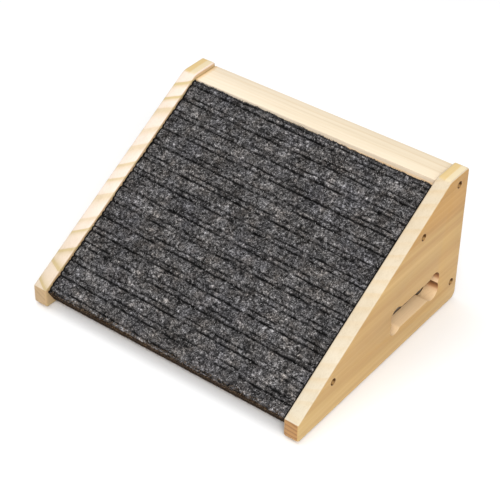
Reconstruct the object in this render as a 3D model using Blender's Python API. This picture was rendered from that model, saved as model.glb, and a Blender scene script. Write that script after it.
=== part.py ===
"""Indoor dog ramp: two pine side panels, a carpeted ramp board, two cross rails, screws and pads.

Metres, +Z up. The ramp climbs along +Y, X runs across its width, and the origin lies on the floor
in the middle of the footprint.
"""

import math

import bmesh
import bpy
from mathutils import Matrix, Vector

# ---- driving dimensions -------------------------------------------------------------------------
WIDTH = 0.360
DEPTH = 0.300
PANEL_HEIGHT = 0.175
PANEL_THICKNESS = 0.018
NOSE_HEIGHT = 0.024
TOP_FLAT = 0.0365
FRONT_FOOT_RADIUS = 0.0045
REAR_FOOT_RADIUS = 0.0085
REAR_TOP_RADIUS = 0.0040
BEND_RADIUS = 0.0150
NOSE_EDGE_RADIUS = 0.0026
PAD_HEIGHT = 0.0020
PAD_RADIUS = 0.006
PAD_FROM_FRONT = 0.030
PAD_FROM_REAR = 0.025
FIT_GAP = 0.0003

RAIL_WIDTH = 0.037
RAIL_THICKNESS = 0.018
RAIL_BELOW_TOP = 0.0052
REAR_RAIL_HEIGHT = 0.040
REAR_RAIL_CENTRE = 0.028
REAR_RAIL_INSET = 0.004

CARPET_RECESS = 0.0040
PILE_THICKNESS = 0.0028
BACKING_THICKNESS = 0.0012
BOARD_THICKNESS = 0.012
CARPET_SHORT_OF_RAIL = 0.0035
CARPET_NOSE = 0.0012
FLAP_REACH = 0.0220
CARPET_BEND_RADIUS = 0.0032

LOBE_RADIUS = 0.0108
LOBE_OFFSET = 0.0072
GRIP_HALF_LENGTH = 0.0367
GRIP_HALF_HEIGHT = 0.0140
GRIP_FILLET = 0.0040
GRIP_CUSP = 0.0010
GRIP_Y = 0.2113
GRIP_Z = 0.0452
GRIP_CUT_MARGIN = 0.010

SCREW_LENGTH = 0.040
SHANK_RADIUS = 0.0020
HEAD_RADIUS = 0.0037
HEAD_CONE = 0.0026
HEAD_RIM = 0.0005
SCREW_SINK = 0.0042
SCREW_POINT_LENGTH = 0.005
SCREW_POINT_RADIUS = 0.0006
HOLE_CUT_MARGIN = 0.005
CONE_CLEARANCE_SHARE = 0.6
TOP_SCREW_RISE = 0.0012
UPPER_SCREW_Y = 0.2160
LOWER_SCREW_Y = 0.0592
CROSS_WIDTH = 0.0010
CROSS_LENGTH = 0.0042
CROSS_DEPTH = 0.0014

EDGE_EASE = 0.0021
GRIP_EASE = 0.0003
RAIL_EASE = 0.0008
BOARD_EASE = 0.0004

# ---- derived places, measured from the panel's lower front corner -------------------------------
INSIDE = WIDTH / 2 - PANEL_THICKNESS
BEND = Vector((DEPTH - TOP_FLAT, PANEL_HEIGHT))
NOSE = Vector((0.0, NOSE_HEIGHT))
ALONG = (BEND - NOSE).normalized()
DOWN = Vector((ALONG.y, -ALONG.x))
RAIL_FRONT = DEPTH - RAIL_WIDTH
RAIL_TOP = PANEL_HEIGHT - RAIL_BELOW_TOP
BACKING_TOP = CARPET_RECESS + PILE_THICKNESS
BOARD_TOP = BACKING_TOP + BACKING_THICKNESS + FIT_GAP
BOARD_FRONT = CARPET_NOSE + PILE_THICKNESS + BACKING_THICKNESS + FIT_GAP
BOARD_END = RAIL_FRONT - FIT_GAP
CARPET_END = RAIL_FRONT - CARPET_SHORT_OF_RAIL

PINE = ("pine", (0.78, 0.58, 0.34), 0.5, 0.0)
PLYWOOD = ("plywood", (0.62, 0.44, 0.26), 0.6, 0.0)
FELT = ("carpet_felt", (0.09, 0.088, 0.09), 0.95, 0.0)
LATEX = ("carpet_backing_latex", (0.035, 0.025, 0.02), 0.9, 0.0)
STEEL = ("blackened_steel", (0.10, 0.085, 0.075), 0.4, 0.9)
RUBBER = ("rubber", (0.03, 0.03, 0.03), 0.8, 0.0)


def clear_scene():
    for item in list(bpy.data.objects):
        bpy.data.objects.remove(item, do_unlink=True)


def material(spec):
    name, colour, roughness, metallic = spec
    made = bpy.data.materials.get(name) or bpy.data.materials.new(name)
    made.use_nodes = True
    shader = made.node_tree.nodes["Principled BSDF"]
    shader.inputs["Base Color"].default_value = (*colour, 1.0)
    shader.inputs["Roughness"].default_value = roughness
    shader.inputs["Metallic"].default_value = metallic
    return made


def place(profile_point):
    """World Y and Z of a point given from the panel's lower front corner."""
    return profile_point[0] - DEPTH / 2, profile_point[1] + PAD_HEIGHT


def slope_point(distance, depth):
    """A profile point so far up the slope from the nose, and so deep under the slope's edge."""
    return NOSE + ALONG * distance + DOWN * depth


def slope_at(y, depth):
    """The profile point at height-line y on the plane that lies so deep under the slope's edge."""
    start = slope_point(0.0, depth)
    return start + ALONG * ((y - start.x) / ALONG.x)


def arc(centre, radius, start, end, steps):
    """Points along an arc, angles in radians."""
    turn = (end - start) / steps
    angles = [start + turn * k for k in range(steps + 1)]
    return [Vector((centre[0] + radius * math.cos(a), centre[1] + radius * math.sin(a))) for a in angles]


def rounded_outline(corners, steps=6):
    """A closed outline from (point, radius) corners, each round corner an arc of that radius."""
    points = []
    for k, (corner, radius) in enumerate(corners):
        corner = Vector(corner)
        before = (Vector(corners[k - 1][0]) - corner).normalized()
        after = (Vector(corners[(k + 1) % len(corners)][0]) - corner).normalized()
        if radius == 0.0:
            points.append(corner)
            continue
        half = before.angle(after) / 2
        centre = corner + (before + after).normalized() * (radius / math.sin(half))
        first = corner + before * (radius / math.tan(half)) - centre
        last = corner + after * (radius / math.tan(half)) - centre
        sweep = first.angle_signed(last)
        for j in range(steps + 1):
            points.append(centre + first @ Matrix.Rotation(sweep * j / steps, 2))
    return points


def prism(name, outline, x_low, x_high, spec):
    """A solid with the outline, given in the panel's profile plane, between two X planes."""
    mesh = bpy.data.meshes.new(name)
    shape = bmesh.new()
    low = [shape.verts.new((x_low, *place(p))) for p in outline]
    face = shape.faces.new(low)
    made = bmesh.ops.extrude_face_region(shape, geom=[face])
    moved = [v for v in made["geom"] if isinstance(v, bmesh.types.BMVert)]
    bmesh.ops.translate(shape, verts=moved, vec=(x_high - x_low, 0.0, 0.0))
    bmesh.ops.recalc_face_normals(shape, faces=shape.faces)
    shape.to_mesh(mesh)
    shape.free()
    item = bpy.data.objects.new(name, mesh)
    item.data.materials.append(material(spec))
    bpy.context.collection.objects.link(item)
    return item


def turned(name, profile, spec, sides=20):
    """A solid turned about X from (x, radius) stations; the first and last close with flat discs."""
    mesh = bpy.data.meshes.new(name)
    shape = bmesh.new()
    rings = []
    for x, radius in profile:
        angles = [math.tau * k / sides for k in range(sides)]
        rings.append([shape.verts.new((x, radius * math.cos(a), radius * math.sin(a))) for a in angles])
    for near, far in zip(rings, rings[1:]):
        for k in range(sides):
            shape.faces.new((near[k], near[k - 1], far[k - 1], far[k]))
    shape.faces.new(rings[0])
    shape.faces.new(list(reversed(rings[-1])))
    bmesh.ops.recalc_face_normals(shape, faces=shape.faces)
    shape.to_mesh(mesh)
    shape.free()
    item = bpy.data.objects.new(name, mesh)
    item.data.materials.append(material(spec))
    bpy.context.collection.objects.link(item)
    return item


def hide_cutter(item):
    item.hide_render = True
    item.display_type = "WIRE"


def cut(item, cutter):
    step = item.modifiers.new("cut_" + cutter.name, "BOOLEAN")
    step.operation = "DIFFERENCE"
    step.solver = "EXACT"
    step.object = cutter


def ease(item, width, segments=2):
    """Round every sharp edge of a piece by a small radius."""
    step = item.modifiers.new("eased_edges", "BEVEL")
    step.width = width
    step.segments = segments
    step.limit_method = "ANGLE"
    step.angle_limit = math.radians(50)


def smooth(item, angle=35):
    item.data.shade_smooth()
    item.data.set_sharp_from_angle(angle=math.radians(angle))


# ---- side panels --------------------------------------------------------------------------------
def panel_outline():
    return rounded_outline([
        ((0.0, 0.0), FRONT_FOOT_RADIUS),
        ((DEPTH, 0.0), REAR_FOOT_RADIUS),
        ((DEPTH, PANEL_HEIGHT), REAR_TOP_RADIUS),
        (tuple(BEND), BEND_RADIUS),
        (tuple(NOSE), NOSE_EDGE_RADIUS),
    ])


def grip_outline():
    """The dog-bone hand-hold: a bar with two lobes at each end, meeting in a cusp on the axis."""
    rise = GRIP_HALF_HEIGHT + GRIP_FILLET - LOBE_OFFSET
    reach = math.sqrt((LOBE_RADIUS + GRIP_FILLET) ** 2 - rise ** 2)
    join = math.atan2(rise, -reach)
    dip = math.sqrt((LOBE_RADIUS + GRIP_CUSP) ** 2 - LOBE_OFFSET ** 2)
    tip = math.atan2(-LOBE_OFFSET, dip)
    fillet_centre = (GRIP_HALF_LENGTH - reach, LOBE_OFFSET + rise)
    quarter = arc(fillet_centre, GRIP_FILLET, -math.pi / 2, join - math.pi, 4)
    quarter += arc((GRIP_HALF_LENGTH, LOBE_OFFSET), LOBE_RADIUS, join, tip, 16)[1:]
    quarter += arc((GRIP_HALF_LENGTH + dip, 0.0), GRIP_CUSP, tip + math.pi, math.pi, 2)[1:]
    lower = [Vector((p.x, -p.y)) for p in reversed(quarter[:-1])]
    half = quarter + lower
    other = [Vector((-p.x, -p.y)) for p in half]
    return [p + Vector((GRIP_Y, GRIP_Z)) for p in half + other]


def side_panel(name, side):
    inner, outer = sorted((side * INSIDE, side * WIDTH / 2))
    panel = prism(name, panel_outline(), inner, outer, PINE)
    ease(panel, EDGE_EASE, 3)
    cut_from, cut_to = inner - GRIP_CUT_MARGIN, outer + GRIP_CUT_MARGIN
    grip = prism(name + "_grip_cutter", grip_outline(), cut_from, cut_to, PINE)
    hide_cutter(grip)
    cut(panel, grip)
    ease(panel, GRIP_EASE)
    return panel


# ---- boards, rails and carpet -------------------------------------------------------------------
def ramp_board():
    """A flat board whose front is square to the slope and whose rear is cut plumb at the rail."""
    under = BOARD_TOP + BOARD_THICKNESS
    outline = [
        slope_point(BOARD_FRONT, BOARD_TOP),
        slope_point(BOARD_FRONT, under),
        slope_at(BOARD_END, under),
        slope_at(BOARD_END, BOARD_TOP),
    ]
    reach = INSIDE - FIT_GAP
    board = prism("ramp_board", outline, -reach, reach, PLYWOOD)
    ease(board, BOARD_EASE, 1)
    return board


def carpet_layer(name, top, thickness, nose, bend_radius, spec):
    """One layer of the carpet, lying on the slope and folded down over the board's front end."""
    inner_radius = max(bend_radius - thickness, 0.0)
    outline = rounded_outline([
        (slope_at(CARPET_END, top), 0.0),
        (slope_point(nose, top), bend_radius),
        (slope_point(nose, FLAP_REACH), 0.0),
        (slope_point(nose + thickness, FLAP_REACH), 0.0),
        (slope_point(nose + thickness, top + thickness), inner_radius),
        (slope_at(CARPET_END, top + thickness), 0.0),
    ])
    reach = INSIDE - FIT_GAP
    layer = prism(name, outline, -reach, reach, spec)
    smooth(layer)
    return layer


def rail(name, y_low, y_high, z_low, z_high):
    outline = [Vector(p) for p in ((y_low, z_low), (y_high, z_low), (y_high, z_high), (y_low, z_high))]
    reach = INSIDE - FIT_GAP
    made = prism(name, outline, -reach, reach, PINE)
    ease(made, RAIL_EASE)
    return made


def rear_rail_span():
    high = DEPTH - REAR_RAIL_INSET
    return high - RAIL_THICKNESS, high


# ---- fasteners and pads -------------------------------------------------------------------------
def screw_stations(clearance):
    """(x, radius) stations of a countersunk screw whose head's top face is at x = 0."""
    spread = clearance * CONE_CLEARANCE_SHARE
    return [
        (0.0 if clearance == 0.0 else SCREW_SINK + HOLE_CUT_MARGIN, HEAD_RADIUS + clearance),
        (-HEAD_RIM - spread, HEAD_RADIUS + clearance),
        (-HEAD_RIM - HEAD_CONE - spread, SHANK_RADIUS + clearance),
        (-SCREW_LENGTH + SCREW_POINT_LENGTH - spread, SHANK_RADIUS + clearance),
        (-SCREW_LENGTH - 2 * clearance, SCREW_POINT_RADIUS + clearance),
    ]


def cross_recess():
    """The cross cut into a screw's head, as one closed cutter."""
    half, arm = CROSS_WIDTH / 2, CROSS_LENGTH / 2
    corner = [(arm, half), (half, half), (half, arm)]
    outline = []
    for quarter in range(4):
        turn = Matrix.Rotation(math.pi / 2 * quarter, 2)
        outline += [turn @ Vector(p) for p in corner]
    shape = bmesh.new()
    face = shape.faces.new([shape.verts.new((-CROSS_DEPTH, *p)) for p in outline])
    made = bmesh.ops.extrude_face_region(shape, geom=[face])
    moved = [v for v in made["geom"] if isinstance(v, bmesh.types.BMVert)]
    bmesh.ops.translate(shape, verts=moved, vec=(2 * CROSS_DEPTH, 0.0, 0.0))
    bmesh.ops.recalc_face_normals(shape, faces=shape.faces)
    mesh = bpy.data.meshes.new("cross_recess")
    shape.to_mesh(mesh)
    shape.free()
    return mesh


def screw(name, side, profile_point, recess_mesh, hosts):
    """A screw driven in from a panel's outer face, with its hole cut through all of its hosts."""
    y, z = place(profile_point)
    turn = 0.0 if side > 0 else math.pi
    spot = (side * (WIDTH / 2 - SCREW_SINK), y, z)
    body = turned(name, screw_stations(0.0), STEEL, 16)
    hole = turned(name + "_hole_cutter", screw_stations(FIT_GAP), STEEL, 24)
    recess = bpy.data.objects.new(name + "_recess_cutter", recess_mesh)
    bpy.context.collection.objects.link(recess)
    for item in (body, hole, recess):
        item.location = spot
        item.rotation_euler = (0.0, 0.0, turn)
    for cutter in (hole, recess):
        hide_cutter(cutter)
    cut(body, recess)
    smooth(body)
    for host in hosts:
        cut(host, hole)
    return body


def pad(name, x, y):
    """A thin round pad under a panel, standing on the floor."""
    mesh = bpy.data.meshes.new(name)
    shape = bmesh.new()
    depth = PAD_HEIGHT - FIT_GAP
    bmesh.ops.create_cone(shape, cap_ends=True, segments=28, depth=depth, radius1=PAD_RADIUS,
                          radius2=PAD_RADIUS)
    bmesh.ops.translate(shape, verts=shape.verts, vec=(0.0, 0.0, depth / 2))
    shape.to_mesh(mesh)
    shape.free()
    item = bpy.data.objects.new(name, mesh)
    item.location = (x, y, 0.0)
    item.data.materials.append(material(RUBBER))
    bpy.context.collection.objects.link(item)
    smooth(item)
    return item


def build():
    clear_scene()
    board = ramp_board()
    carpet_layer("carpet_backing", BACKING_TOP, BACKING_THICKNESS - FIT_GAP, CARPET_NOSE + PILE_THICKNESS,
                 CARPET_BEND_RADIUS - PILE_THICKNESS, LATEX)
    carpet_layer("carpet_pile", CARPET_RECESS, PILE_THICKNESS - FIT_GAP, CARPET_NOSE,
                 CARPET_BEND_RADIUS, FELT)
    top_rail = rail("top_rail", RAIL_FRONT, DEPTH, RAIL_TOP - RAIL_THICKNESS, RAIL_TOP)
    rear_low, rear_high = rear_rail_span()
    rear_base = REAR_RAIL_CENTRE - REAR_RAIL_HEIGHT / 2
    rear_rail = rail("rear_rail", rear_low, rear_high, rear_base, rear_base + REAR_RAIL_HEIGHT)

    board_middle = BOARD_TOP + BOARD_THICKNESS / 2
    screw_places = (
        ("top", Vector(((RAIL_FRONT + DEPTH) / 2, RAIL_TOP - RAIL_THICKNESS / 2 + TOP_SCREW_RISE)), top_rail),
        ("upper", slope_at(UPPER_SCREW_Y, board_middle), board),
        ("lower", slope_at(LOWER_SCREW_Y, board_middle), board),
        ("rear", Vector(((rear_low + rear_high) / 2, REAR_RAIL_CENTRE)), rear_rail),
    )
    recess_mesh = cross_recess()
    for hand, side in (("left", -1), ("right", 1)):
        panel = side_panel(hand + "_side_panel", side)
        for label, spot, host in screw_places:
            screw("screw_%s_%s" % (hand, label), side, spot, recess_mesh, (panel, host))
        smooth(panel)
        for end, y in (("front", PAD_FROM_FRONT), ("rear", DEPTH - PAD_FROM_REAR)):
            pad("pad_%s_%s" % (hand, end), side * (WIDTH - PANEL_THICKNESS) / 2, y - DEPTH / 2)


build()
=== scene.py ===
"""Looks of the indoor dog ramp: pine, plywood, ribbed felt carpet, blackened screws and rubber pads.

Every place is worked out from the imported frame's boxes and from the few design sizes below, in
metres. Profile coordinates run from a side panel's lower front corner: y to the rear and z up.
"""

import math

import bpy
import numpy as np
from mathutils import Matrix, Vector


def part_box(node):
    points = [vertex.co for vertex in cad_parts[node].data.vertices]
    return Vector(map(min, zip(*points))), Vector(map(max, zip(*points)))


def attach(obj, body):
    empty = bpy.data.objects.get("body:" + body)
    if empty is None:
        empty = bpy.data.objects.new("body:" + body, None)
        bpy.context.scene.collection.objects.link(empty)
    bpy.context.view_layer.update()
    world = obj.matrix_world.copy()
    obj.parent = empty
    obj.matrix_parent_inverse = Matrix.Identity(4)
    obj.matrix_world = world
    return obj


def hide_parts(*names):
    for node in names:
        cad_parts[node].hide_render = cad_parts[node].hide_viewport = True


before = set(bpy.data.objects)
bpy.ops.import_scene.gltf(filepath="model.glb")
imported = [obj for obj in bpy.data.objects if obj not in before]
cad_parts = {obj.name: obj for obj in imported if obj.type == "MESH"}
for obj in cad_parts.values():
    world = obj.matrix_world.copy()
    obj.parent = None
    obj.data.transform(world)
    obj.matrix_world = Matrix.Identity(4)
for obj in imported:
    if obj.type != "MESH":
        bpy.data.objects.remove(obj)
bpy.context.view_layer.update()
PANEL_LOW, PANEL_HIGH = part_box("right_side_panel")
PILE_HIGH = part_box("carpet_pile")[1]
RAIL_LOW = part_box("top_rail")[0]

# ---- design sizes shared with the solids --------------------------------------------------------
NOSE_HEIGHT = 0.024
TOP_FLAT = 0.0365
CARPET_RECESS = 0.0040
PILE_THICKNESS = 0.0028
FLAP_REACH = 0.0220
CARPET_NOSE = 0.0012

DEPTH = PANEL_HIGH.y - PANEL_LOW.y
HEIGHT = PANEL_HIGH.z - PANEL_LOW.z
ORIGIN = np.array((PANEL_LOW.y, PANEL_LOW.z))
NOSE = np.array((0.0, NOSE_HEIGHT))
BEND = np.array((DEPTH - TOP_FLAT, HEIGHT))
ALONG = (BEND - NOSE) / np.linalg.norm(BEND - NOSE)
DOWN = np.array((ALONG[1], -ALONG[0]))

# ---- carpet -------------------------------------------------------------------------------------
# Distances up the slope start at the nose. The rear end runs slightly askew, and so do the ribs.
HALF_WIDTH = PILE_HIGH.x - 0.0002
REAR_END_LEFT = 0.2988
REAR_END_RIGHT = 0.2937
BEND_RADIUS = 0.0028
COLUMN_STEP = 0.00115
ROW_STEP = 0.00094
PILE_BOTTOM = PILE_THICKNESS - 0.0003

# From one main groove to the next: a narrow rib, a fine groove, then a broad rib that is highest
# at its crest.
RIB_PITCH = 0.02053
RIB_PHASE = 0.0202
RIB_SKEW = 0.0300
NARROW_RIB = 0.0059
RIB_CREST = 0.0088
MAIN_GROOVE_WIDTH = 0.00130
MAIN_GROOVE_DEPTH = 0.00185
FINE_GROOVE_WIDTH = 0.00108
FINE_GROOVE_DEPTH = 0.00125
BROAD_CROWN = 0.00042
NARROW_CROWN = 0.00022
NARROW_CROWN_WIDTH = 0.0018
TUFT_HEIGHT = 0.00052
EDGE_CURL = 0.0010
END_DROP = 0.0009
END_ROUND = 0.0012

# Loose fibres: how far they stay from the side panels and the rail, and how deep they are rooted.
FIBRE_MARGIN = 0.0030
FIBRE_CLEARANCE = 0.0002
FIBRE_ROOT = 0.0004

# Stretches of the carpet as shares of its length from the rear end, and two limits of shade.
OPEN_PILE = (0.004, 0.93)
REAR_FRINGE = (0.0, 0.005)
NOSE_FRINGE = (0.930, 0.955)
OUT_OF_GROOVES = 0.45
EVERYWHERE = 2.0


class Noise:
    """Smooth value noise in two dimensions, seeded, between -1 and 1."""

    SIZE = 256

    def __init__(self, seed):
        self.grid = np.random.RandomState(seed).uniform(-1, 1, (self.SIZE, self.SIZE))

    def __call__(self, a, b):
        ia, ib = np.floor(a).astype(int), np.floor(b).astype(int)
        fa, fb = a - ia, b - ib
        fa, fb = fa * fa * (3 - 2 * fa), fb * fb * (3 - 2 * fb)
        ia, ib = ia % self.SIZE, ib % self.SIZE
        ja, jb = (ia + 1) % self.SIZE, (ib + 1) % self.SIZE
        near = self.grid[ia, ib] * (1 - fb) + self.grid[ia, jb] * fb
        far = self.grid[ja, ib] * (1 - fb) + self.grid[ja, jb] * fb
        return near * (1 - fa) + far * fa


def uneven(a, b, *layers):
    """A sum of noises, each given as its seed, its strength and its grain along a and along b."""
    return sum(strength * Noise(seed)(a / grain_a, b / grain_b)
               for seed, strength, grain_a, grain_b in layers)


def smoothstep(low, high, value):
    t = np.clip((value - low) / (high - low), 0, 1)
    return t * t * (3 - 2 * t)


def bell(distance, width):
    return np.exp(-((distance / width) ** 2))


def carpet_path(distance_down, rear_end):
    """Profile points and outward normals at distances from the carpet's rear end, down the slope,
    round the nose and down the flap."""
    straight = rear_end - CARPET_NOSE - BEND_RADIUS
    turn = BEND_RADIUS * math.pi / 2
    on_slope = np.minimum(distance_down, straight)
    angle = np.clip((distance_down - straight) / turn, 0, 1) * math.pi / 2
    on_flap = np.maximum(distance_down - straight - turn, 0)
    along = rear_end - on_slope - BEND_RADIUS * np.sin(angle)
    depth = CARPET_RECESS + BEND_RADIUS * (1 - np.cos(angle)) + on_flap
    point = NOSE + along[..., None] * ALONG + depth[..., None] * DOWN
    normal = -np.cos(angle)[..., None] * DOWN - np.sin(angle)[..., None] * ALONG
    return point, normal, along, on_flap + BEND_RADIUS * angle


def carpet_length(rear_end):
    straight = rear_end - CARPET_NOSE - BEND_RADIUS
    return straight + BEND_RADIUS * math.pi / 2 + FLAP_REACH - CARPET_RECESS - BEND_RADIUS


def rear_end_at(x):
    share = (x + HALF_WIDTH) / (2 * HALF_WIDTH)
    return REAR_END_LEFT + (REAR_END_RIGHT - REAR_END_LEFT) * share


def groove_shares(x, along):
    """How deep the main and the fine groove are at each point, from 0 on a rib to 1 in a groove, and
    the distance up the slope from the last main groove."""
    wander = uneven(x, along, (3, 0.00045, 0.013, 0.02), (4, 0.00030, 0.004, 0.01))
    place = np.mod(along + RIB_SKEW * x - RIB_PHASE + wander, RIB_PITCH)
    from_main = np.minimum(place, RIB_PITCH - place)
    breaks = uneven(x, along, (5, 0.35, 0.016, 0.02), (15, 0.25, 0.005, 0.02))
    main = bell(from_main, MAIN_GROOVE_WIDTH) * np.clip(0.75 + breaks, 0.20, 1)
    breaks = uneven(x, along, (6, 0.55, 0.013, 0.02), (16, 0.30, 0.004, 0.02))
    fine = bell(place - NARROW_RIB, FINE_GROOVE_WIDTH) * np.clip(0.76 + breaks, 0, 1)
    return main, fine, place


def pile_relief(x, along, on_flap):
    """How far the pile stands above its mean face, its painted shade in hollows and along its sides,
    its tufts, and the painted highlight on each rib's shoulder that faces the light."""
    main, fine, place = groove_shares(x, along)
    ribbed = smoothstep(0.0045, 0.0005, on_flap)
    up = smoothstep(NARROW_RIB, RIB_CREST, place)
    crown = BROAD_CROWN * up * (1 - 0.75 * smoothstep(RIB_CREST, RIB_PITCH, place))
    crown = crown + NARROW_CROWN * bell(place - NARROW_RIB / 2, NARROW_CROWN_WIDTH)
    tufts = uneven(x, along, (7, 0.50, 0.0032, 0.0027), (8, 0.50, 0.0016, 0.0014))
    swell = uneven(x, along, (9, 0.00034, 0.030, 0.024), (10, 0.00030, 0.009, 0.007))
    drop = MAIN_GROOVE_DEPTH * main + FINE_GROOVE_DEPTH * fine
    edge = smoothstep(0.0024, 0.0007, HALF_WIDTH - np.abs(x))
    height = (crown + swell - drop) * ribbed + TUFT_HEIGHT * tufts * (0.30 + 0.70 * ribbed)
    height = height + EDGE_CURL * edge * ribbed
    # Painted shade in the grooves and in the hollows between tufts, and along both sides where the felt
    # meets the panels.
    shade = np.maximum(main, fine * 0.85)
    shade = np.maximum(shade, 0.60 * smoothstep(0.28, 0.75, -tufts))
    # Painted highlight: paler felt on the rib shoulders above each groove, which face the light.
    shoulder_highlight = 0.75 * bell(place - 0.57 * NARROW_RIB, 0.0011) + bell(place - 1.03 * RIB_CREST, 0.0014)
    return height, np.maximum(shade * ribbed, edge), tufts, shoulder_highlight * ribbed


def surface_point(x, down):
    """World positions and normals on the pile's upper face, with its painted shades, tufts,
    painted shoulder highlights and flap distances."""
    rear_end = rear_end_at(x) + uneven(x, x, (11, 0.0007, 0.006, 0.05))
    total = carpet_length(rear_end)
    profile, normal, along, on_flap = carpet_path(down * total, rear_end)
    height, shade, tufts, shoulder_highlight = pile_relief(x, along, on_flap)
    height = height - END_DROP * bell(down * total, END_ROUND)
    moved = profile + normal * height[..., None] + ORIGIN
    world = np.stack((x, moved[..., 0], moved[..., 1]), -1)
    outward = np.stack((np.zeros_like(x), normal[..., 0], normal[..., 1]), -1)
    return world, outward, shade, tufts, shoulder_highlight, on_flap


def new_piece(name, points, faces, material):
    """A smooth-shaded mesh that belongs to the ramp's one body."""
    mesh = bpy.data.meshes.new(name)
    mesh.from_pydata(np.asarray(points).tolist(), [], faces)
    mesh.validate()
    mesh.shade_smooth()
    piece = bpy.data.objects.new(name, mesh)
    bpy.context.scene.collection.objects.link(piece)
    piece.data.materials.append(material)
    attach(piece, "root")
    return piece


def store(piece, name, values):
    """Keep a number at each of a mesh's points, for its material to read."""
    attribute = piece.data.attributes.new(name, "FLOAT", "POINT")
    attribute.data.foreach_set("value", np.asarray(values, np.float32).ravel())


def sheet_faces(rows, columns):
    """The faces of a closed sheet, and its rim as the numbers of its upper points in order. The
    upper face is a grid of quads. The underside has points only below the rim, and they follow the
    upper ones."""
    index = np.arange((rows + 1) * (columns + 1)).reshape(rows + 1, columns + 1)
    quads = np.stack((index[:-1, :-1], index[1:, :-1], index[1:, 1:], index[:-1, 1:]), -1)
    rim = np.concatenate((index[0], index[1:, -1], index[-1, -2::-1], index[-2:0:-1, 0])).tolist()
    under = {corner: index.size + k for k, corner in enumerate(rim)}
    faces = quads.reshape(-1, 4).tolist()
    for corner, after in zip(rim, rim[1:] + rim[:1]):
        faces.append([corner, after, under[after], under[corner]])
    for row in range(rows):
        left = [under[index[row + 1, 0]], under[index[row, 0]]]
        right = [under[index[row, columns]], under[index[row + 1, columns]]]
        if row == 0:
            left += [under[index[0, column]] for column in range(1, columns)]
        if row == rows - 1:
            right += [under[index[rows, column]] for column in range(columns - 1, 0, -1)]
        faces.append(left + right)
    return faces, rim


def carpet_pile(material):
    """The felt as one closed sheet: a ribbed upper face, thin sides and a plain underside."""
    columns = int(round(2 * HALF_WIDTH / COLUMN_STEP))
    rows = int(round(carpet_length(REAR_END_LEFT) / ROW_STEP))
    x = np.linspace(-HALF_WIDTH, HALF_WIDTH, columns + 1)[None, :].repeat(rows + 1, 0)
    down = np.linspace(0, 1, rows + 1)[:, None].repeat(columns + 1, 1)
    top, _, shade, tufts, shoulder_highlight, on_flap = surface_point(x, down)
    rear_end = rear_end_at(x)
    profile, normal, _, _ = carpet_path(down * carpet_length(rear_end), rear_end)
    lower = profile - normal * PILE_BOTTOM + ORIGIN
    bottom = np.stack((x, lower[..., 0], lower[..., 1]), -1)
    faces, rim = sheet_faces(rows, columns)
    points = np.concatenate((top.reshape(-1, 3), bottom.reshape(-1, 3)[rim]))
    piece = new_piece("carpet_felt_pile", points, faces, material)
    skirt = len(rim)
    # The felt's sides and underside get full painted shade.
    store(piece, "shade", np.concatenate((shade.ravel(), np.full(skirt, 1.0))))
    store(piece, "tuft", np.concatenate((tufts.ravel(), np.full(skirt, -1.0))))
    # Painted highlights on the rib shoulders that face the light.
    store(piece, "shoulder_highlight", np.concatenate((shoulder_highlight.ravel(), np.zeros(skirt))))
    store(piece, "flap", np.concatenate((on_flap.ravel(), on_flap.ravel()[rim])))
    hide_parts("carpet_pile")


def thread_faces(number):
    """Triangles of closed threads that have eight points each: two tips with two rings of three
    between them."""
    pattern = []
    for k in range(3):
        a, b, c, d = 1 + k, 1 + (k + 1) % 3, 4 + (k + 1) % 3, 4 + k
        pattern += [(0, b, a), (a, b, c), (a, c, d), (d, c, 7)]
    return (np.array(pattern)[None] + 8 * np.arange(number)[:, None, None]).reshape(-1, 3)


def strands(name, count, seed, material, radius, length, lift, span=OPEN_PILE, avoid=OUT_OF_GROOVES):
    """Loose fibres that stand out of the felt: short bowed threads, each closed and pointed at both
    ends. span is the stretch of the carpet they grow on, and none grow where the felt is shaded
    more than avoid."""
    rng = np.random.RandomState(seed)
    x = rng.uniform(-HALF_WIDTH + FIBRE_MARGIN, HALF_WIDTH - FIBRE_MARGIN, count)
    down = rng.uniform(span[0], span[1], count)
    foot, outward, shade, *_ = surface_point(x, down)
    keep = shade < avoid
    foot, outward = foot[keep], outward[keep]
    number = len(foot)
    heading = rng.normal(0.0, 1.1, number)
    across = np.tile(np.array((1.0, 0.0, 0.0)), (number, 1))
    downhill = np.cross(outward, across)
    ahead = across * np.cos(heading)[:, None] + downhill * np.sin(heading)[:, None]
    aside = np.cross(outward, ahead)
    reach = rng.uniform(*length, number)[:, None]
    rise = rng.uniform(*lift, number)[:, None]
    bow = rng.normal(0.0, 0.22, number)[:, None] * reach
    thick = radius * rng.uniform(0.7, 1.25, number)[:, None]

    def station(share):
        arch = 4 * share * (1 - share)
        upward = outward * (rise * arch - FIBRE_ROOT)
        return foot + ahead * (share - 0.5) * reach + upward + aside * bow * arch

    rings = []
    for share in (0.33, 0.67):
        centre = station(share)
        for k in range(3):
            turn = math.tau * k / 3
            rings.append(centre + thick * (math.cos(turn) * aside + math.sin(turn) * outward))
    points = np.stack([station(0.0), *rings, station(1.0)], 1).reshape(-1, 3)
    points[:, 0] = np.clip(points[:, 0], -HALF_WIDTH, HALF_WIDTH)
    points[:, 1] = np.minimum(points[:, 1], RAIL_LOW.y - FIBRE_CLEARANCE)
    return new_piece(name, points, thread_faces(number).tolist(), material)


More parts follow.
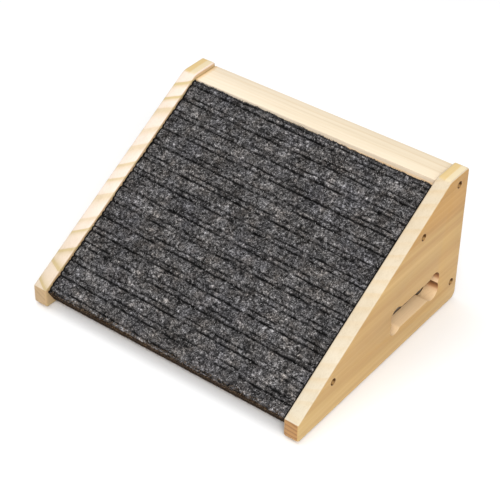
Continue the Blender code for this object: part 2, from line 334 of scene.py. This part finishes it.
# ---- materials ----------------------------------------------------------------------------------
class Graph:
    """Short names for building a material's nodes."""

    def __init__(self, name):
        self.material = bpy.data.materials.new(name)
        self.material.use_nodes = True
        self.tree = self.material.node_tree
        self.shader = self.tree.nodes["Principled BSDF"]

    def node(self, kind, **settings):
        made = self.tree.nodes.new(kind)
        for key, value in settings.items():
            setattr(made, key, value)
        return made

    def feed(self, socket, value):
        if isinstance(value, bpy.types.NodeSocket):
            self.tree.links.new(value, socket)
        elif value is not None:
            socket.default_value = value

    def math(self, operation, a, b=None, c=None):
        made = self.node("ShaderNodeMath", operation=operation)
        for socket, value in zip(made.inputs, (a, b, c)):
            self.feed(socket, value)
        return made.outputs[0]

    def plus(self, a, b):
        return self.math("ADD", a, b)

    def minus(self, a, b):
        return self.math("SUBTRACT", a, b)

    def times(self, a, b):
        return self.math("MULTIPLY", a, b)

    def scaled(self, value, factor, offset):
        """value x factor + offset"""
        return self.math("MULTIPLY_ADD", value, factor, offset)

    def size(self, value):
        return self.math("ABSOLUTE", value)

    def vector(self, operation, a, b=None):
        made = self.node("ShaderNodeVectorMath", operation=operation)
        self.feed(made.inputs[0], a)
        self.feed(made.inputs[1], b)
        return made.outputs["Value" if operation in ("LENGTH", "DOT_PRODUCT") else "Vector"]

    def place(self):
        return self.node("ShaderNodeTexCoord").outputs["Object"]

    def normal(self):
        return self.node("ShaderNodeTexCoord").outputs["Normal"]

    def split(self, vector):
        made = self.node("ShaderNodeSeparateXYZ")
        self.feed(made.inputs[0], vector)
        return made.outputs

    def join(self, x=0.0, y=0.0, z=0.0):
        made = self.node("ShaderNodeCombineXYZ")
        for socket, value in zip(made.inputs, (x, y, z)):
            self.feed(socket, value)
        return made.outputs[0]

    def stretched(self, at, factors, offset=0.0):
        """The place at which a noise is read, so that its grain differs from axis to axis."""
        a, b, c = at
        return self.join(self.times(a, factors[0]), self.times(b, factors[1]),
                         self.scaled(c, factors[2], offset))

    def noise(self, vector, scale=1.0, detail=2.0, roughness=0.5, distortion=0.0):
        made = self.node("ShaderNodeTexNoise")
        for key, value in (("Vector", vector), ("Scale", scale), ("Detail", detail),
                           ("Roughness", roughness), ("Distortion", distortion)):
            self.feed(made.inputs[key], value)
        return made.outputs["Fac"]

    def ramp(self, value, *stops):
        """Stops are (position from 0 to 1, grey or colour)."""
        made = self.node("ShaderNodeValToRGB")
        self.feed(made.inputs[0], value)
        elements = made.color_ramp.elements
        while len(elements) < len(stops):
            elements.new(0.5)
        for element, (position, colour) in zip(elements, stops):
            rgb = colour if isinstance(colour, tuple) else (colour, colour, colour)
            element.position = position
            element.color = (*rgb, 1.0)
        return made.outputs[0]

    def mix(self, share, a, b, blend="MIX"):
        made = self.node("ShaderNodeMix", data_type="RGBA", blend_type=blend)
        self.feed(made.inputs[0], share)
        for socket, value in zip((made.inputs[6], made.inputs[7]), (a, b)):
            self.feed(socket, (*value, 1.0) if isinstance(value, tuple) else value)
        return made.outputs[2]

    def tint(self, colour, tone, share=1.0):
        """colour x tone, where share is 1"""
        return self.mix(share, colour, tone, "MULTIPLY")

    def attribute(self, name):
        return self.node("ShaderNodeAttribute", attribute_name=name).outputs["Fac"]

    def bump(self, height, distance, strength):
        made = self.node("ShaderNodeBump")
        self.feed(made.inputs["Height"], height)
        self.feed(made.inputs["Distance"], distance)
        self.feed(made.inputs["Strength"], strength)
        return made.outputs[0]

    def finish(self, colour, roughness, normal=None, **fixed):
        self.feed(self.shader.inputs["Base Color"],
                  (*colour, 1.0) if isinstance(colour, tuple) else colour)
        self.feed(self.shader.inputs["Roughness"], roughness)
        self.feed(self.shader.inputs["Normal"], normal)
        for key, value in fixed.items():
            self.shader.inputs[key.replace("_", " ")].default_value = value
        return self.material


# ---- wood ---------------------------------------------------------------------------------------
# FACE is a board's upright side, EDGE its upward side, END its cut end, LATE the dark latewood.
# EDGE colours are paler than FACE colours, partly from sanding and partly as painted light from above.
PINE_EDGE = (0.660, 0.566, 0.426)
PALE_EDGE = (0.846, 0.726, 0.640)
RAIL_EDGE = (0.808, 0.706, 0.549)
PINE_FACE = (0.538, 0.330, 0.122)
PALE_FACE = (0.640, 0.450, 0.275)
# RAIL_FACE is lifted nearly to white as painted light on the rail's shaded front face.
RAIL_FACE = (0.960, 0.830, 0.665)
PINE_CREST = (0.722, 0.542, 0.262)
CREST_PALE = (0.775, 0.664, 0.452)
PINE_LATE = (0.640, 0.440, 0.200)
PALE_LATE = (0.620, 0.490, 0.255)
PINE_CUT = (0.890, 0.645, 0.385)
PINE_CUT_DEEP_LIT = (0.970, 0.715, 0.425)
WARM_END = (0.473, 0.243, 0.082)
WARM_END_LATE = (0.270, 0.120, 0.038)
PALE_END = (0.656, 0.469, 0.288)
PALE_END_LATE = (0.380, 0.250, 0.135)
RIM_SHADE = (0.060, 0.026, 0.008)
BORED = (0.500, 0.290, 0.110)
BORED_DARK = (0.100, 0.040, 0.006)
PLY_FACE = (0.66, 0.49, 0.31)
PLY_END = (0.52, 0.36, 0.21)
PLY_LATE = (0.46, 0.30, 0.16)

# The hand-hold's middle in the profile, and half of a box that is just larger than it.
GRIP_Y = 0.2113
GRIP_Z = 0.0452
GRIP_REACH_Y = 0.056
GRIP_REACH_Z = 0.022
HOLE_RADIUS = 0.0040
CREST_BAND = 0.010
LIT_SIDE = (0.0, -0.50, 0.87)

# Bands across a side panel's outer face: how fast they climb to the rear, then height and tone.
LEFT_BANDS = (0.0, (
    (0.02, (1.0, 1.0, 1.0)), (0.06, (0.95, 0.93, 0.90)), (0.09, (1.02, 1.02, 1.02)),
    (0.14, (0.94, 0.92, 0.88)), (0.17, (1.0, 1.0, 1.0))))
RIGHT_BANDS = (0.03, (
    (0.018, (1.05, 1.10, 1.14)), (0.029, (0.90, 0.86, 0.80)), (0.040, (1.03, 1.04, 1.04)),
    (0.060, (0.93, 0.90, 0.86)), (0.072, (1.02, 1.04, 1.06)), (0.083, (0.92, 0.88, 0.84)),
    (0.092, (1.00, 1.02, 1.02)), (0.107, (1.08, 1.12, 1.14)), (0.119, (0.88, 0.82, 0.74)),
    (0.126, (1.03, 1.06, 1.06)), (0.134, (0.90, 0.82, 0.70)), (0.148, (1.00, 0.92, 0.76)),
    (0.166, (0.93, 0.84, 0.68))))


def year_rings(g, at, heart, squeeze, tilt, ring, seed):
    """How much latewood there is at each point: uneven rings round the pith."""
    drift = g.noise(g.stretched(at, (3.2, 14.0, 14.0), seed), 1.0, 2.0)
    drift = g.scaled(drift, 0.008, -0.004)
    off_across = g.minus(at[1], heart[0])
    off_height = g.plus(g.minus(at[2], heart[1]), drift)
    radius = g.vector("LENGTH", g.join(g.times(off_across, squeeze), off_height, 0.0))
    radius = g.scaled(off_across, tilt, radius)
    growth = g.noise(g.join(g.times(radius, 55.0), seed, 0.0), 1.0, 1.0)
    year = g.plus(g.math("DIVIDE", radius, ring), g.scaled(growth, 1.2, 20.0))
    latewood = g.ramp(g.math("FRACT", year), (0.0, 0.20), (0.10, 0.0), (0.44, 0.05), (0.66, 0.45),
                      (0.84, 1.0), (0.97, 0.9), (1.0, 0.20))
    strong = g.noise(g.join(g.math("FLOOR", year), seed, 0.0), 7.3, 0.0)
    return g.times(latewood, g.ramp(strong, (0.30, 0.45), (0.62, 1.0)))


def wood(name, grain, heart, squeeze, tilt, ring, seed, rings=0.5, face=PINE_FACE, edge=PINE_EDGE,
         end=WARM_END, late=PINE_LATE, finish=None):
    """Sawn softwood. grain is the axis that the fibres run along, heart the pith's place across
    it, squeeze and tilt the shape of the rings round it, ring the mean width of a year, and rings
    the strength of the latewood. finish changes the colour further, before the fibres are drawn."""
    g = Graph(name)
    x, y, z = g.split(g.place())
    at = (y, x, z) if grain == "Y" else (x, y, z)
    stripe = g.times(year_rings(g, at, heart, squeeze, tilt, ring, seed), rings)
    fibre = g.noise(g.stretched(at, (14.0, 900.0, 900.0)), 1.0, 3.0, 0.6)
    streak = g.noise(g.stretched(at, (4.0, 130.0, 130.0), seed), 1.0, 4.0, 0.72)
    tone = g.noise(g.stretched(at, (2.5, 9.0, 26.0), seed), 1.0, 2.0)

    nx, ny, nz = g.split(g.normal())
    is_end = g.ramp(g.size(ny if grain == "Y" else nx), (0.75, 0.0), (0.93, 1.0))
    # Upward sides take the EDGE colour, paler partly from sanding and partly as painted light from
    # above.
    is_up = g.ramp(nz, (0.32, 0.0), (0.58, 1.0))
    colour = g.mix(is_end, g.mix(is_up, face, edge), end)
    colour = g.mix(g.times(stripe, g.minus(1.0, is_end)), colour, late)
    if finish:
        colour = finish(g, colour, (x, y, z), (nx, ny, nz), is_end)
    colour = g.tint(colour, g.ramp(tone, (0.32, (1.04, 1.04, 1.04)), (0.68, (0.94, 0.91, 0.86))))
    grained = g.ramp(g.plus(g.times(fibre, 0.45), g.times(streak, 0.55)), (0.34, (0.88, 0.85, 0.80)),
                     (0.50, (0.985, 0.98, 0.97)), (0.66, (1.03, 1.03, 1.04)))
    colour = g.tint(colour, grained, 0.85)
    lumps = g.plus(fibre, g.times(stripe, 0.8))
    return g.finish(colour, g.scaled(fibre, 0.18, 0.42), g.bump(lumps, 0.00018, 0.55),
                    Specular_IOR_Level=0.35)


def face_bands(g, colour, at, is_face, climb, stops):
    """Broad bands along a panel's face."""
    wave = g.noise(g.join(g.times(at[1], 5.0), 0.0, g.times(at[2], 20.0)), 1.0, 1.0)
    level = g.scaled(wave, 0.014, g.minus(at[2], 0.007))
    level = g.scaled(at[1], climb, level)
    return g.tint(colour, g.ramp(level, *stops), is_face)


def end_rings(g, colour, at, wiggle, is_end, late, tilt, pitch):
    """Growth rings, cut across, on a panel's ends."""
    turned = g.scaled(at[0], tilt, g.scaled(wiggle, 0.0030, at[2]))
    count = g.plus(g.math("DIVIDE", turned, pitch), 10.0)
    weight = g.noise(g.join(g.math("FLOOR", count), 4.5, 0.0), 5.1, 0.0)
    weight = g.ramp(weight, (0.35, 0.25), (0.60, 1.0))
    ring = g.ramp(g.math("FRACT", count), (0.0, 0.35), (0.12, 0.0), (0.50, 0.12), (0.82, 0.85),
                  (0.95, 0.7), (1.0, 0.35))
    return g.mix(g.times(g.times(ring, weight), is_end), colour, late)


def crest_streak(g, colour, at, nz, wiggle, start, width):
    """A panel's level top: pale, with a yellow streak of some width that starts at x = start. The
    ramp counts in tenths of a metre, from 0.2 at the start."""
    stop = 0.2 + 10 * width
    streak = g.scaled(wiggle, 0.0012, at[0])
    streak = g.ramp(g.scaled(streak, 10.0, -10.0 * start + 0.2),
                    (0.194, 0.0), (0.206, 1.0), (stop - 0.008, 1.0), (stop + 0.010, 0.0))
    is_crest = g.times(g.ramp(nz, (0.92, 0.0), (0.985, 1.0)),
                       g.math("GREATER_THAN", at[2], PANEL_HIGH.z - CREST_BAND))
    return g.mix(is_crest, colour, g.mix(streak, CREST_PALE, PINE_CREST))


def hand_hold_walls(g, colour, at, normal, is_face, inner_x):
    """The hand-hold's cut walls: paler towards the inner side as painted light, painted shade where
    they face down, and a band of painted shade at the inner rim. Depths are counted in centimetres."""
    near_y = g.math("LESS_THAN", g.size(g.minus(at[1], PANEL_LOW.y + GRIP_Y)), GRIP_REACH_Y)
    near_z = g.math("LESS_THAN", g.size(g.minus(at[2], PANEL_LOW.z + GRIP_Z)), GRIP_REACH_Z)
    near = g.times(near_y, near_z)
    is_cut = g.times(near, g.minus(1.0, is_face))
    from_inside = g.times(g.size(g.minus(at[0], inner_x)), 100.0)
    # Painted light: the walls grow paler towards the inner side, against the shade deep in the hole.
    wall = g.mix(g.ramp(from_inside, (0.2, 1.0), (1.0, 0.0)), PINE_CUT, PINE_CUT_DEEP_LIT)
    colour = g.mix(is_cut, colour, wall)
    # Painted shade on the walls that face down.
    down_facing_shade = g.ramp(g.scaled(normal[2], 0.5, 0.5), (0.15, (0.06, 0.025, 0.008)),
                  (0.40, (0.28, 0.16, 0.10)), (0.57, (0.56, 0.40, 0.31)),
                  (0.66, (0.86, 0.77, 0.75)), (0.80, (1.0, 1.0, 1.0)))
    colour = g.tint(colour, down_facing_shade, is_cut)
    # Painted shade at the inner rim: a dark band that stands in for the shaded inside of the ramp seen
    # through the hole.
    rim = g.times(g.ramp(from_inside, (0.12, 1.0), (0.16, 0.0)),
                  g.ramp(g.size(normal[0]), (0.93, 1.0), (0.99, 0.0)))
    return g.mix(g.times(near, rim), colour, RIM_SHADE)


def screw_bores(g, colour, at, normal, holes):
    """The walls of the counterbores, paler where they face the light."""
    nearest = None
    for low, high in holes:
        away = g.vector("LENGTH", g.join(0.0, g.minus(at[1], (low.y + high.y) / 2),
                                         g.minus(at[2], (low.z + high.z) / 2)))
        nearest = away if nearest is None else g.math("MINIMUM", nearest, away)
    radius = 100 * HOLE_RADIUS
    bored = g.ramp(g.times(nearest, 100.0), (radius + 0.012, 1.0), (radius + 0.050, 0.0))
    lit = g.vector("DOT_PRODUCT", g.join(*normal), LIT_SIDE)
    wall = g.mix(g.ramp(lit, (0.78, 0.0), (0.99, 1.0)), BORED_DARK, BORED)
    return g.mix(bored, colour, wall)


def panel_finish(side, bands, rings, crest, foot_tone):
    """What a side panel has beyond plain wood. bands belongs to face_bands, rings to end_rings and
    crest to crest_streak; foot_tone fades in towards the panel's nose."""
    holes = [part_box("screw_%s_%s" % (side, name)) for name in ("top", "upper", "lower", "rear")]
    inner_x = PANEL_LOW.x if side == "right" else -PANEL_LOW.x

    def finish(g, colour, at, normal, is_end):
        is_face = g.ramp(g.size(normal[0]), (0.60, 0.0), (0.90, 1.0))
        colour = face_bands(g, colour, at, is_face, *bands)
        rearward = g.scaled(at[1], 2.0, 0.5)
        colour = g.tint(colour, g.ramp(rearward, (0.20, foot_tone), (0.42, (1.0, 1.0, 1.0))))
        wiggle = g.noise(g.join(*at), 90.0, 2.0)
        colour = end_rings(g, colour, at, wiggle, is_end, *rings)
        colour = crest_streak(g, colour, at, normal[2], wiggle, *crest)
        colour = hand_hold_walls(g, colour, at, normal, is_face, inner_x)
        return screw_bores(g, colour, at, normal, holes)

    return finish


def rail_finish(g, colour, at, normal, is_end):
    """Warm painted shade and reflected colour where the rail meets the left panel, and a tone that
    fades to the right.
    """
    from_end = g.minus(at[0], RAIL_LOW.x)
    # Painted shade and warm reflected colour near the left panel.
    corner_shade = g.ramp(g.times(from_end, 50.0), (0.0, (0.74, 0.56, 0.34)),
                   (0.10, (0.88, 0.76, 0.58)), (0.28, (1.0, 1.0, 1.0)))
    colour = g.tint(colour, corner_shade)
    rightward = g.scaled(at[0], 2.5, 0.5)
    return g.tint(colour, g.ramp(rightward, (0.0, (1.12, 1.12, 1.14)), (0.7, (0.99, 0.99, 0.99))))


# ---- felt and the small parts -------------------------------------------------------------------
def felt():
    """Needle-punched felt: charcoal mixed with grey, painted shade and highlights, brown flap in
    painted shade.
    """
    g = Graph("charcoal_ribbed_felt")
    where = g.place()
    coarse = g.noise(where, 340.0, 2.0, 0.7, 0.2)
    fine = g.noise(where, 800.0, 2.0, 0.7)
    speck = g.plus(g.times(coarse, 0.5), g.times(fine, 0.5))
    colour = g.ramp(speck, (0.37, (0.005, 0.0045, 0.0046)), (0.45, (0.031, 0.0292, 0.0294)),
                    (0.54, (0.100, 0.0955, 0.0955)), (0.65, (0.330, 0.318, 0.316)))
    # Painted shade on low tufts and painted highlight on high ones.
    tuft = g.ramp(g.scaled(g.attribute("tuft"), 0.5, 0.5), (0.22, 0.52), (0.50, 0.96), (0.80, 1.50))
    patch = g.ramp(g.noise(where, 120.0, 2.0, 0.6), (0.34, 0.56), (0.66, 1.46))
    cloud = g.ramp(g.noise(where, 40.0, 2.0, 0.6), (0.34, 0.61), (0.66, 1.40))
    hue = g.noise(g.vector("ADD", where, (5.0, 2.0, 1.0)), 26.0, 1.0)
    hue = g.ramp(hue, (0.32, (1.02, 1.00, 0.97)), (0.50, (1.0, 1.0, 1.0)), (0.68, (0.99, 0.995, 1.035)))
    # Painted highlight on the rib shoulders that face the light.
    shoulder_highlight = g.scaled(g.attribute("shoulder_highlight"), 0.24, 1.0)
    warmth = g.noise(g.vector("ADD", where, (3.0, 1.0, 2.0)), 75.0, 2.0, 0.6)
    warmth = g.ramp(warmth, (0.36, (0.98, 0.995, 1.02)), (0.50, (1.0, 1.0, 1.0)),
                    (0.64, (1.04, 1.00, 0.96)))
    # Painted shade from the pile's grooves, hollows and sides.
    shade = g.ramp(g.attribute("shade"), (0.10, 1.0), (0.70, 0.08))
    for tone in (warmth, tuft, patch, cloud, hue, shoulder_highlight, shade):
        colour = g.tint(colour, tone)
    ragged = g.times(g.noise(where, 260.0, 2.0), 0.30)
    below = g.scaled(g.attribute("flap"), 100.0, ragged)
    # The flap is brown like the backing, and darker still as painted shade because it faces down and
    # forwards.
    underside = g.mix(g.ramp(speck, (0.42, 0.0), (0.62, 1.0)),
                      (0.006, 0.0030, 0.0012), (0.050, 0.026, 0.010))
    colour = g.mix(g.ramp(below, (0.26, 0.0), (0.46, 1.0)), colour, underside)
    return g.finish(colour, 0.95, g.bump(speck, 0.0012, 0.9), Specular_IOR_Level=0.10)


def fibre(name, dark, pale):
    """A felt fibre's colour, changing along the carpet from thread to thread."""
    g = Graph(name)
    shade = g.noise(g.place(), 900.0, 1.0)
    colour = g.mix(g.ramp(shade, (0.40, 0.0), (0.60, 1.0)), dark, pale)
    return g.finish(colour, 0.85, g.bump(shade, 0.0001, 0.5), Specular_IOR_Level=0.25)


def backing():
    """Brown latex, grainy and dull."""
    g = Graph("brown_latex_backing")
    grain = g.noise(g.place(), 700.0, 3.0, 0.7)
    colour = g.mix(grain, (0.020, 0.013, 0.009), (0.075, 0.050, 0.033))
    return g.finish(colour, 0.92, g.bump(grain, 0.0004, 0.6), Specular_IOR_Level=0.2)


def black_steel():
    """Blackened screws, browned where they are worn."""
    g = Graph("blackened_steel")
    wear = g.noise(g.place(), 420.0, 4.0, 0.65)
    colour = g.ramp(wear, (0.35, (0.075, 0.032, 0.005)), (0.62, (0.165, 0.082, 0.026)),
                    (0.78, (0.30, 0.18, 0.09)))
    rough = g.ramp(wear, (0.3, 0.62), (0.7, 0.42))
    return g.finish(colour, rough, g.bump(wear, 0.0001, 0.4), Metallic=0.30)


def rubber():
    """Matt black pads with a little dust."""
    g = Graph("matt_black_rubber")
    dust = g.noise(g.place(), 900.0, 4.0, 0.7)
    colour = g.ramp(dust, (0.40, (0.018, 0.018, 0.019)), (0.72, (0.060, 0.058, 0.056)))
    return g.finish(colour, 0.82, g.bump(dust, 0.0002, 0.5), Specular_IOR_Level=0.3)


def studio_floor():
    """A plain floor, nearly white."""
    g = Graph("pale_floor")
    colour = g.mix(g.noise(g.place(), 6.0, 2.0), (0.94, 0.94, 0.94), (0.965, 0.965, 0.965))
    return g.finish(colour, 0.8, Specular_IOR_Level=0.1)


# ---- smooth rounds ------------------------------------------------------------------------------
WELD_DISTANCE = 0.000002
SHARP_ANGLE = math.radians(38)


def smooth_group():
    """A modifier's node group that shades a mesh smooth, apart from edges over an angle."""
    group = bpy.data.node_groups.new("smooth_by_angle", "GeometryNodeTree")
    group.interface.new_socket("Geometry", in_out="INPUT", socket_type="NodeSocketGeometry")
    group.interface.new_socket("Geometry", in_out="OUTPUT", socket_type="NodeSocketGeometry")
    nodes, links = group.nodes, group.links
    start, end = nodes.new("NodeGroupInput"), nodes.new("NodeGroupOutput")
    clean = nodes.new("GeometryNodeRemoveAttribute")
    clean.inputs["Name"].default_value = "custom_normal"
    merge = nodes.new("GeometryNodeMergeByDistance")
    merge.inputs["Distance"].default_value = WELD_DISTANCE
    soft = nodes.new("GeometryNodeSetShadeSmooth")
    soft.domain = "FACE"
    angle = nodes.new("GeometryNodeInputMeshEdgeAngle")
    sharp = nodes.new("FunctionNodeCompare")
    sharp.inputs[1].default_value = SHARP_ANGLE
    mark = nodes.new("GeometryNodeStoreNamedAttribute")
    mark.data_type, mark.domain = "BOOLEAN", "EDGE"
    mark.inputs["Name"].default_value = "sharp_edge"
    links.new(start.outputs[0], clean.inputs[0])
    links.new(clean.outputs[0], merge.inputs[0])
    links.new(merge.outputs[0], soft.inputs[0])
    links.new(soft.outputs[0], mark.inputs[0])
    links.new(angle.outputs["Unsigned Angle"], sharp.inputs[0])
    links.new(sharp.outputs[0], mark.inputs["Value"])
    links.new(mark.outputs[0], end.inputs[0])
    return group


def dress_frame():
    """Better materials and smooth rounds for the CAD nodes that stay. The two panels' pith lies at
    the left side of each."""
    left_x, right_x = -PANEL_HIGH.x, PANEL_LOW.x
    left_finish = panel_finish("left", LEFT_BANDS, (PALE_END_LATE, 0.55, 0.0062), (left_x, 0.0095),
                               (0.80, 0.78, 0.69))
    right_finish = panel_finish("right", RIGHT_BANDS, (WARM_END_LATE, 0.10, 0.0056), (right_x, 0.0105),
                                (1.01, 1.06, 1.12))
    pine_left = wood("pine_left_panel", "Y", (left_x, PANEL_LOW.z + 0.046), 0.20, -0.32, 0.0115, 3.1,
                     rings=1.0, face=PALE_FACE, edge=PALE_EDGE, end=PALE_END, late=PALE_LATE,
                     finish=left_finish)
    pine_right = wood("pine_right_panel", "Y", (right_x, PANEL_LOW.z + 0.033), 0.30, -0.25, 0.0080,
                      11.7, rings=0.30, finish=right_finish)
    pine_top = wood("pine_top_rail", "X", (0.165, 0.20), 1.0, 0.0, 0.0045, 23.9, rings=0.22,
                    face=RAIL_FACE, edge=RAIL_EDGE, finish=rail_finish)
    pine_rear = wood("pine_rear_rail", "X", (0.165, -0.03), 1.0, 0.0, 0.0050, 31.3, rings=0.45)
    ply = wood("birch_plywood", "X", (-0.3, -0.9), 1.0, 0.0, 0.0100, 47.0, rings=0.35,
               face=PLY_FACE, edge=PLY_FACE, end=PLY_END, late=PLY_LATE)
    looks = {
        "left_side_panel": pine_left, "right_side_panel": pine_right, "top_rail": pine_top,
        "rear_rail": pine_rear, "ramp_board": ply, "carpet_backing": backing(),
    }
    steel, pads = black_steel(), rubber()
    group = smooth_group()
    for name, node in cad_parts.items():
        if name == "carpet_pile":
            continue
        material = looks.get(name, steel if name.startswith("screw_") else pads)
        node.material_slots[0].material = material
        step = node.modifiers.new("smooth_rounds", "NODES")
        step.node_group = group


# ---- stage --------------------------------------------------------------------------------------
CAMERA_PLACE = (0.82051, -1.09603, 1.12861)
CAMERA_AZIMUTH = 36.67
CAMERA_ELEVATION = 37.70
CAMERA_ROLL = 1.10
LENS_MM = 114.39
SENSOR_MM = 36.0
FLOOR_REACH = 6.0
SKY_STRENGTH = 0.45
LIGHT_TARGET = (0.0, 0.0, 0.08)
# Each light's name, place, diameter in metres and power in watts.
LIGHTS = (
    ("key", (1.75, -2.15, 2.70), 1.8, 84.0),
    ("side", (2.50, -1.20, 1.80), 1.6, 12.0),
    ("top", (-0.75, 0.00, 3.50), 3.2, 53.0),
)


def add_camera():
    """A long lens above the ramp's right front."""
    azimuth, elevation = math.radians(CAMERA_AZIMUTH), math.radians(CAMERA_ELEVATION)
    data = bpy.data.cameras.new("camera")
    data.lens, data.sensor_width = LENS_MM, SENSOR_MM
    camera = bpy.data.objects.new("camera", data)
    bpy.context.scene.collection.objects.link(camera)
    tilt = Matrix.Rotation(math.pi / 2 - elevation, 4, "X")
    turn = Matrix.Rotation(azimuth, 4, "Z")
    roll = Matrix.Rotation(math.radians(CAMERA_ROLL), 4, "Z")
    camera.matrix_world = Matrix.Translation(CAMERA_PLACE) @ turn @ tilt @ roll
    bpy.context.scene.camera = camera


def add_light(name, place, diameter, power):
    """A soft round light that faces the ramp."""
    data = bpy.data.lights.new(name, "AREA")
    data.shape, data.size, data.energy = "DISK", diameter, power
    lamp = bpy.data.objects.new(name, data)
    bpy.context.scene.collection.objects.link(lamp)
    lamp.location = place
    aim = Vector(LIGHT_TARGET) - Vector(place)
    lamp.rotation_euler = aim.to_track_quat("-Z", "Y").to_euler()


def add_stage():
    """A white sky, a pale floor and the lights."""
    scene = bpy.context.scene
    scene.view_settings.view_transform = "Standard"
    world = bpy.data.worlds.new("studio")
    world.use_nodes = True
    sky = world.node_tree.nodes["Background"]
    sky.inputs["Color"].default_value = (1.0, 1.0, 1.0, 1.0)
    sky.inputs["Strength"].default_value = SKY_STRENGTH
    scene.world = world
    floor_mesh = bpy.data.meshes.new("floor")
    corners = [(-FLOOR_REACH, -FLOOR_REACH, 0), (FLOOR_REACH, -FLOOR_REACH, 0),
               (FLOOR_REACH, FLOOR_REACH, 0), (-FLOOR_REACH, FLOOR_REACH, 0)]
    floor_mesh.from_pydata(corners, [], [(0, 1, 2, 3)])
    floor = bpy.data.objects.new("floor", floor_mesh)
    scene.collection.objects.link(floor)
    floor.data.materials.append(studio_floor())
    for light in LIGHTS:
        add_light(*light)


add_camera()
add_stage()
dress_frame()
PALE = fibre("pale_fibre", (0.16, 0.155, 0.155), (0.46, 0.45, 0.445))
GREY = fibre("grey_fibre", (0.05, 0.048, 0.049), (0.20, 0.19, 0.19))
BLACK = fibre("black_fibre", (0.004, 0.0038, 0.004), (0.020, 0.019, 0.019))
TAN = fibre("tan_fibre", (0.04, 0.024, 0.012), (0.22, 0.150, 0.092))
# Each group's name, count, seed, material, radius, range of length and range of lift, then its span.
FIBRES = [
    strands("pale_fibres", 6000, 21, PALE, 0.00026, (0.0020, 0.0044), (0.0003, 0.0011)),
    strands("grey_fibres", 6000, 22, GREY, 0.00026, (0.0025, 0.0055), (0.0002, 0.0009)),
    strands("black_fibres", 8000, 23, BLACK, 0.00030, (0.0022, 0.0048), (0.0002, 0.0009)),
    strands("top_fuzz", 1200, 24, BLACK, 0.00022, (0.0015, 0.0034), (0.0008, 0.0024),
            REAR_FRINGE, EVERYWHERE),
    strands("top_fuzz_pale", 500, 25, GREY, 0.00020, (0.0015, 0.0034), (0.0008, 0.0026),
            REAR_FRINGE, EVERYWHERE),
    strands("nose_fuzz", 900, 26, TAN, 0.00022, (0.0014, 0.0030), (0.0002, 0.0009),
            NOSE_FRINGE, EVERYWHERE),
]
carpet_pile(felt())
